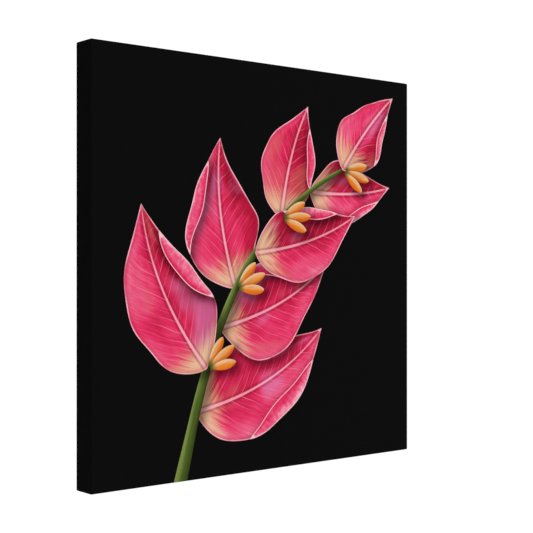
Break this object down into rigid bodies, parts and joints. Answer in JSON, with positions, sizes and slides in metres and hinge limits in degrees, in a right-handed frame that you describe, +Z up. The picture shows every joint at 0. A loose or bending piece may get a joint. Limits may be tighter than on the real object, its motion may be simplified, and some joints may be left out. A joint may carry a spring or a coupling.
{
  "type": "stretched canvas print",
  "caption": "Square picture printed on canvas, stretched and stapled over four keyed wooden bars, with a sawtooth hanger for a nail in the wall.",
  "frame": {"origin": "the middle notch of the sawtooth hanger, the point that bears on the nail in the wall", "axes": "+Z up, the picture faces -Y, +X is to the right as the front is seen, and the wall is the plane y = 0"},
  "size_m": [0.305, 0.021, 0.305],
  "materials": {
    "printed_canvas": "matt black ink on primed woven canvas, with a coloured design on the front",
    "pine": "planed, unfinished softwood",
    "beech": "sawn, unfinished hardwood",
    "staple_wire": "galvanised flat wire",
    "brassed_steel": "brass-plated pressed steel"
  },
  "bodies": {
    "root": {"canvas_cloth": "printed_canvas", "hanger_nail_1": "brassed_steel", "hanger_nail_2": "brassed_steel", "sawtooth_hanger": "brassed_steel", "staple_bottom_1": "staple_wire", "staple_bottom_2": "staple_wire", "staple_bottom_3": "staple_wire", "staple_bottom_4": "staple_wire", "staple_bottom_5": "staple_wire", "staple_bottom_6": "staple_wire", "staple_corner_bottom_left": "staple_wire", "staple_corner_bottom_right": "staple_wire", "staple_corner_top_left": "staple_wire", "staple_corner_top_right": "staple_wire", "staple_left_1": "staple_wire", "staple_left_2": "staple_wire", "staple_left_3": "staple_wire", "staple_left_4": "staple_wire", "staple_left_5": "staple_wire", "staple_left_6": "staple_wire", "staple_right_1": "staple_wire", "staple_right_2": "staple_wire", "staple_right_3": "staple_wire", "staple_right_4": "staple_wire", "staple_right_5": "staple_wire", "staple_right_6": "staple_wire", "staple_top_1": "staple_wire", "staple_top_2": "staple_wire", "staple_top_3": "staple_wire", "staple_top_4": "staple_wire", "staple_top_5": "staple_wire", "staple_top_6": "staple_wire", "stretcher_bar_bottom": "pine", "stretcher_bar_left": "pine", "stretcher_bar_right": "pine", "stretcher_bar_top": "pine", "wedge_key_bottom_a": "beech", "wedge_key_bottom_b": "beech", "wedge_key_left_a": "beech", "wedge_key_left_b": "beech", "wedge_key_right_a": "beech", "wedge_key_right_b": "beech", "wedge_key_top_a": "beech", "wedge_key_top_b": "beech"}
  },
  "joints": []
}
